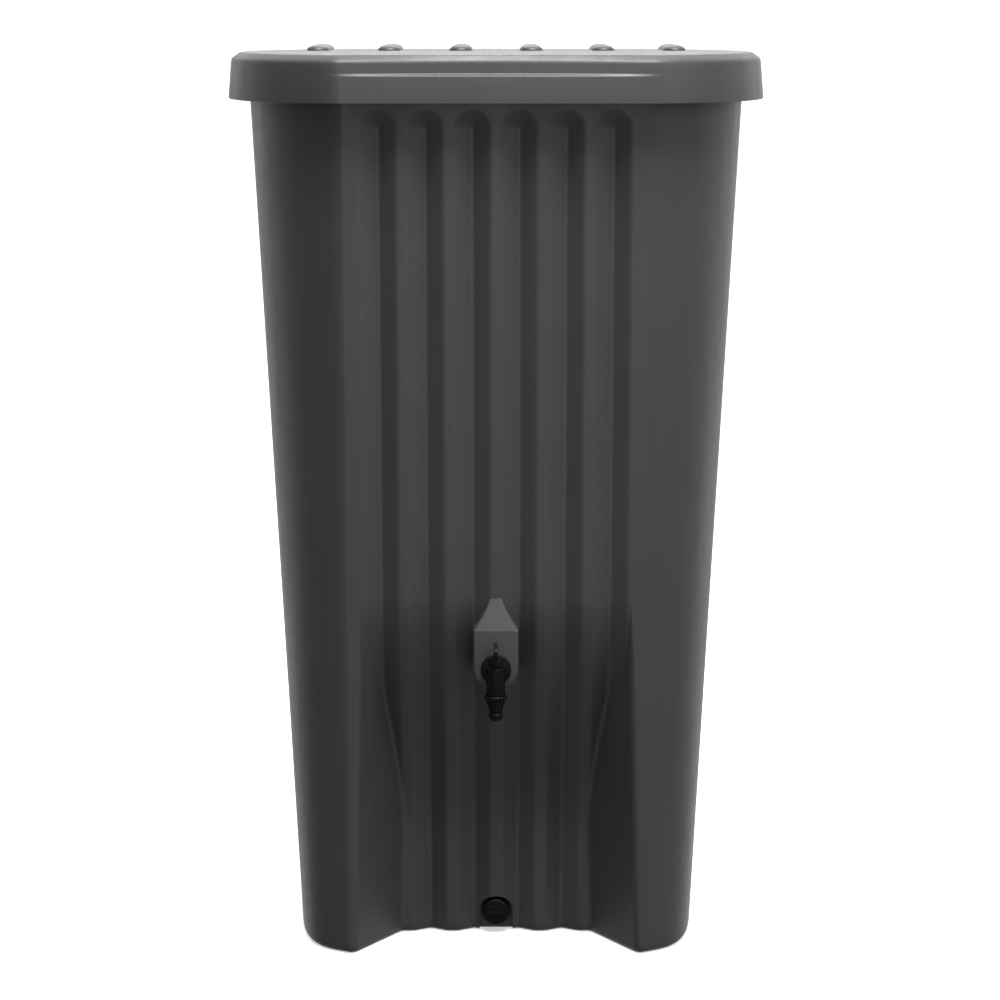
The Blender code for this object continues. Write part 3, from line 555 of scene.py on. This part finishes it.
def make_lever():
    """T-shaped key: a blade with a thick grip edge along its top."""
    axis = Matrix.Translation(TAP_AXIS + Vector((0, PLUG_Y, 0)))
    front = PLUG_Y - lever_low.y
    back = lever_high.y - PLUG_Y
    top = lever_high.z - TAP_AXIS.z
    low = bonnet_high.z - TAP_AXIS.z + GAP
    tang_low = lever_low.z - TAP_AXIS.z
    tang = 0.0030
    outline = [(-tang, tang_low), (tang, tang_low), (tang, low), (back, low), (back, top - 0.006),
               (back - 0.004, top), (-front + 0.006, top), (-front, top - 0.004), (-front, top - 0.009),
               (-front + 0.004, low), (-tang, low)]
    half = lever_high.x
    builder = bmesh.new()
    shape = rounded([(y, z) for y, z in outline], 0.0012, closed=True)
    edge = 0.0006
    centre = Vector((0.0, (top + low) / 2))
    loops = []
    for x, shrink in ((-half, edge), (-half + edge * 0.3, edge * 0.3), (-half + edge, 0), (half - edge, 0),
                      (half - edge * 0.3, edge * 0.3), (half, edge)):
        loops.append([Vector((x, p.x - shrink * (1 if p.x > centre.x else -1) * (abs(p.x) > tang + 0.0005),
                              p.y - shrink * (1 if p.y > centre.y else -1) * (p.y > low - 0.0001)))
                      for p in shape])
    skin(builder, loops)
    builder.transform(axis)
    return make_mesh("tap_lever_key", builder)


def make_nozzle_nut():
    axis = Matrix.Translation(TAP_AXIS + Vector((0, PLUG_Y, 0)))
    top = nut_high.z - TAP_AXIS.z
    low = nut_low.z - TAP_AXIS.z
    collar = nut_high.x
    collar_low = top - NUT_COLLAR_HEIGHT
    body = NUT_BODY_RADIUS
    neck = NUT_NECK_RADIUS

    def grip(height):
        if height > top - 0.0006 or height < low + 0.0006:
            return None
        return lambda angle: -0.0006 * smooth_step(0.5 + 0.9 * cos(NUT_RIB_COUNT * angle))

    return turned("nozzle_nut_grip", [(neck, low), (body - 0.0015, low), (body, low + 0.001), (body, collar_low),
                                      (collar, collar_low + 0.001), (collar, top - 0.001), (collar - 0.001, top),
                                      (NUT_BORE_RADIUS, top), (NUT_BORE_RADIUS, top - NUT_SEAT_DEPTH),
                                      (neck, top - NUT_SEAT_DEPTH)],
                  axis, steps=160, edge=0.0005, closed=True, modulate=grip)


def make_nozzle():
    axis = Matrix.Translation(TAP_AXIS + Vector((0, PLUG_Y, 0)))
    top = nozzle_high.z - TAP_AXIS.z
    tip = nozzle_low.z - TAP_AXIS.z
    shoulder = nut_low.z - GAP - TAP_AXIS.z
    bore = NOZZLE_BORE_RADIUS
    profile = [(bore, top), (0.0078, top), (0.0078, top - 0.0016), (0.0070, top - 0.0016)]
    # two barbs below the nut, each a slope down and a step back in
    profile += [(0.0070, shoulder), (0.0078, shoulder), (0.0087, shoulder - 0.0018),
                (0.0074, shoulder - 0.0036), (0.0074, shoulder - 0.0072),
                (0.0060, shoulder - 0.0086), (0.0077, shoulder - 0.0104)]
    profile += [(0.0072, tip + 0.0030), (0.0050, tip), (bore, tip)]
    return turned("hose_nozzle_barbed", profile, axis, edge=0.0004, closed=True)


def make_bonnet():
    axis = Matrix.Translation(TAP_AXIS + Vector((0, PLUG_Y, 0)))
    low = bonnet_low.z - TAP_AXIS.z
    high = bonnet_high.z - TAP_AXIS.z
    radius = bonnet_high.x
    hole = BONNET_HOLE_RADIUS
    return turned("tap_bonnet_turned", [(hole, low), (radius, low), (radius, high - 0.0030),
                                        (radius - 0.0004, high), (hole, high)], axis, edge=0.0006, closed=True)


# ---------------------------------------------------------------- drain pieces
def make_drain_cap():
    back = facing_front(DRAIN_AXIS + Vector((0, POCKET_Y, 0)))
    mouth = POCKET_Y - cap_high.y
    ceiling = POCKET_Y - gasket_low.y + GAP
    grip_top = POCKET_Y - cap_low.y
    face = grip_top - CAP_GRIP_RISE
    radius = cap_high.x
    bore = CAP_BORE_RADIUS

    def knurl(height):
        if height > face - 0.0008:
            return None
        return lambda angle: -0.0007 * smooth_step(0.5 + 1.1 * cos(CAP_RIB_COUNT * angle))

    profile = [(AXIS_HOLE, ceiling), (bore, ceiling), (bore, mouth)]
    outer = rounded([(bore, mouth), (radius, mouth), (radius, face - 0.0016), (radius - 0.0024, face),
                     (AXIS_HOLE, face)], 0.0009)
    builder = bmesh.new()
    steps = 180
    loops = [circle(r, h, steps) for r, h in profile]
    loops += [circle(p.x, p.y, steps, knurl(p.y) if p.x > radius - 0.002 else None) for p in outer[1:]]
    skin(builder, loops)
    builder.transform(back)
    cap = make_mesh("drain_cap_knurled", builder)
    length, half = CAP_GRIP_HALF_LENGTH, CAP_GRIP_HALF_WIDTH
    grip = rounded([(-length, -half), (length, -half), (length, half), (-length, half)], 0.0012, closed=True)
    builder = bmesh.new()
    loops = []
    for height, shrink in ((face - 0.001, 0.0), (grip_top - 0.0006, 0.0), (grip_top - 0.0002, 0.0002),
                           (grip_top, 0.0006)):
        loops.append([Vector((p.x * (1 - shrink / length), p.y * (1 - shrink / half), height)) for p in grip])
    skin(builder, loops)
    builder.transform(back)
    join(cap, make_mesh("guide_grip", builder))
    return bake(cap)


# ---------------------------------------------------------------- materials
class Graph:
    """Short way to add and link shader nodes."""

    def __init__(self, name):
        self.material = bpy.data.materials.new(name)
        self.material.use_nodes = True
        self.nodes = self.material.node_tree.nodes
        self.links = self.material.node_tree.links
        self.shader = self.nodes["Principled BSDF"]
        self.position = self.add("ShaderNodeTexCoord").outputs["Object"]

    def add(self, kind, **settings):
        node = self.nodes.new(kind)
        for key, value in settings.items():
            if key.startswith("in_"):
                node.inputs[key[3:].replace("_", " ")].default_value = value
            else:
                setattr(node, key, value)
        return node

    def link(self, out, into):
        self.links.new(out, into)

    def noise(self, scale, detail=4.0, stretch=None, roughness=0.5):
        node = self.add("ShaderNodeTexNoise", in_Scale=scale, in_Detail=detail, in_Roughness=roughness)
        source = self.position
        if stretch:
            mapping = self.add("ShaderNodeMapping")
            mapping.inputs["Scale"].default_value = stretch
            self.link(source, mapping.inputs["Vector"])
            source = mapping.outputs["Vector"]
        self.link(source, node.inputs["Vector"])
        return node.outputs["Fac"]

    def remap(self, value, low, high, from_low=0.3, from_high=0.7):
        node = self.add("ShaderNodeMapRange")
        node.inputs["From Min"].default_value = from_low
        node.inputs["From Max"].default_value = from_high
        node.inputs["To Min"].default_value = low
        node.inputs["To Max"].default_value = high
        self.link(value, node.inputs["Value"])
        return node.outputs["Result"]

    def blend(self, factor, first, second):
        node = self.add("ShaderNodeMix", data_type='RGBA')
        self.link(factor, node.inputs[0])
        node.inputs[6].default_value = (*first, 1)
        node.inputs[7].default_value = (*second, 1)
        return node.outputs[2]

    def add_values(self, first, second):
        node = self.add("ShaderNodeMath", operation='ADD')
        self.link(first, node.inputs[0])
        self.link(second, node.inputs[1])
        return node.outputs[0]


def moulded_plastic(name, dark, light, roughness, grain_size, grain_depth, flow=0.04, shine=0.5):
    """Moulded plastic: fine pebbled grain, faint upright flow marks and slow changes of shade."""
    g = Graph(name)
    mottle = g.remap(g.noise(7.0, 5.0), 0.0, 1.0)
    g.link(g.blend(mottle, dark, light), g.shader.inputs["Base Color"])
    streaks = g.remap(g.noise(1.0, 6.0, (26.0, 26.0, 2.2)), -flow, flow)
    base = g.remap(g.noise(60.0, 3.0), roughness - 0.02, roughness + 0.02)
    g.link(g.add_values(base, streaks), g.shader.inputs["Roughness"])
    grain = g.add("ShaderNodeTexVoronoi", in_Scale=1.0 / grain_size, feature='SMOOTH_F1')
    grain.inputs["Smoothness"].default_value = 0.6
    g.link(g.position, grain.inputs["Vector"])
    fine = g.noise(1.6 / grain_size, 2.0)
    bump = g.add("ShaderNodeBump", in_Strength=1.0, in_Distance=grain_depth)
    g.link(g.add_values(grain.outputs["Distance"], fine), bump.inputs["Height"])
    g.link(bump.outputs["Normal"], g.shader.inputs["Normal"])
    g.shader.inputs["Metallic"].default_value = 0.0
    g.shader.inputs["IOR"].default_value = 1.49
    g.shader.inputs["Specular IOR Level"].default_value = shine
    return g.material


def seal_rubber(name):
    g = Graph(name)
    g.link(g.blend(g.remap(g.noise(140.0, 4.0), 0.0, 1.0), (0.009, 0.009, 0.009), (0.020, 0.020, 0.019)),
           g.shader.inputs["Base Color"])
    g.link(g.remap(g.noise(400.0, 2.0), 0.72, 0.88), g.shader.inputs["Roughness"])
    bump = g.add("ShaderNodeBump", in_Strength=0.6, in_Distance=0.00003)
    g.link(g.noise(2500.0, 2.0), bump.inputs["Height"])
    g.link(bump.outputs["Normal"], g.shader.inputs["Normal"])
    return g.material


def floor_finish(name):
    g = Graph(name)
    g.link(g.blend(g.remap(g.noise(1.5, 3.0), 0.0, 1.0), (0.90, 0.90, 0.90), (0.94, 0.94, 0.94)),
           g.shader.inputs["Base Color"])
    g.shader.inputs["Roughness"].default_value = 0.85
    g.shader.inputs["Emission Color"].default_value = (1, 1, 1, 1)
    g.shader.inputs["Emission Strength"].default_value = 0.45
    return g.material


def dress(item, material, body, slot, *nodes):
    """Give a new piece its material and body and hide the CAD nodes it stands for; the slot argument is not
    used.
    """
    item.data.materials.clear()
    item.data.materials.append(material)
    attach(item, body)
    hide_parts(*nodes)


# ---------------------------------------------------------------- light and camera
def area_light(name, place, target, size, power):
    light = bpy.data.lights.new(name, 'AREA')
    light.shape = 'RECTANGLE'
    light.size, light.size_y = size
    light.energy = power
    item = bpy.data.objects.new(name, light)
    item.location = place
    item.rotation_euler = (Vector(target) - Vector(place)).to_track_quat('-Z', 'Y').to_euler()
    bpy.context.scene.collection.objects.link(item)


def studio_world():
    """White room: bright behind the object and overhead, dim in front and on the left."""
    world = bpy.data.worlds.new("studio")
    bpy.context.scene.world = world
    world.use_nodes = True
    nodes = world.node_tree.nodes
    links = world.node_tree.links
    where = nodes.new("ShaderNodeTexCoord")
    split = nodes.new("ShaderNodeSeparateXYZ")
    links.new(where.outputs["Generated"], split.inputs[0])

    def ramp(axis, start, end, low, high):
        node = nodes.new("ShaderNodeMapRange")
        node.inputs["From Min"].default_value = start
        node.inputs["From Max"].default_value = end
        node.inputs["To Min"].default_value = low
        node.inputs["To Max"].default_value = high
        links.new(split.outputs[axis], node.inputs["Value"])
        return node.outputs["Result"]

    def maths(operation, first, second):
        node = nodes.new("ShaderNodeMath")
        node.operation = operation
        links.new(first, node.inputs[0])
        links.new(second, node.inputs[1])
        return node.outputs[0]

    across = ramp(0, -1.0, 1.0, 0.52, 1.0)
    upward = ramp(2, 0.2, 1.0, 0.46, 1.3)
    behind = ramp(1, 0.3, 0.9, 0.0, 1.2)
    total = maths('ADD', maths('MULTIPLY', across, upward), behind)
    links.new(total, nodes["Background"].inputs["Strength"])
    nodes["Background"].inputs["Color"].default_value = (1, 1, 1, 1)


def make_camera():
    camera = bpy.data.cameras.new("camera")
    camera.lens = 102.4
    camera.sensor_width = 36
    item = bpy.data.objects.new("camera", camera)
    item.location = (0.0045, -3.23, 1.0475)
    item.rotation_euler = (radians(90 - 9.84), 0, 0)
    bpy.context.scene.collection.objects.link(item)
    bpy.context.scene.camera = item


def make_floor():
    builder = bmesh.new()
    half = 60.0
    corners = [(-half, -half), (half, -half), (half, half), (-half, half)]
    builder.faces.new([builder.verts.new((x, y, 0)) for x, y in corners])
    floor = make_mesh("floor", builder)
    floor.data.materials.append(floor_finish("pale_floor"))
    floor.visible_diffuse = False       # the white floor would flatten the shading of the dark shell
    floor.visible_glossy = False


# ---------------------------------------------------------------- assembly
shell_plastic = moulded_plastic("shell_plastic", (0.026, 0.0262, 0.0268), (0.030, 0.0302, 0.0308), 0.52,
                                0.0011, 0.00005)
lid_plastic = moulded_plastic("lid_plastic", (0.029, 0.0292, 0.0298), (0.033, 0.0332, 0.0338), 0.50,
                              0.0011, 0.00005)
black_plastic = moulded_plastic("black_plastic", (0.0010, 0.0010, 0.0011), (0.0018, 0.0018, 0.0019), 0.46,
                                0.0005, 0.00001, 0.03, 0.14)
rubber = seal_rubber("black_rubber")

dress(make_tank(), shell_plastic, "tank", "shell", "tank")
dress(make_lid(), lid_plastic, "lid", "lid", "lid")
dress(make_tap_body(), black_plastic, "tank", "fittings", "tap_body")
dress(make_bonnet(), black_plastic, "tank", "fittings", "tap_bonnet")
dress(make_lever(), black_plastic, "tap_lever", "fittings", "tap_lever")
dress(make_nozzle_nut(), black_plastic, "tank", "fittings", "nozzle_nut")
dress(make_nozzle(), black_plastic, "tank", "fittings", "hose_nozzle")
dress(make_drain_cap(), black_plastic, "drain_cap", "fittings", "drain_cap")

finish_of_slot = {"fittings": black_plastic, "seals": rubber, "shell": shell_plastic, "lid": lid_plastic}
for part in frame["record"]["subparts"]:
    node = frame["nodes"][part["node"]]
    node.data.materials.clear()
    node.data.materials.append(finish_of_slot[part["material_slot"]])

make_floor()
studio_world()
area_light("key_overhead", (0.3, -1.0, 3.2), (0, -0.1, 0.4), (1.4, 0.9), 170)
area_light("key_right", (2.6, -1.6, 1.8), (0, 0, 0.55), (1.4, 1.8), 18)
area_light("fill_front", (0.3, -3.4, 0.7), (0, 0, 0.3), (1.6, 1.0), 15)
area_light("top_back", (0.0, 1.6, 2.6), (0, 0, 0.9), (1.6, 1.0), 30)
bpy.context.scene.view_settings.view_transform = 'Standard'
make_camera()
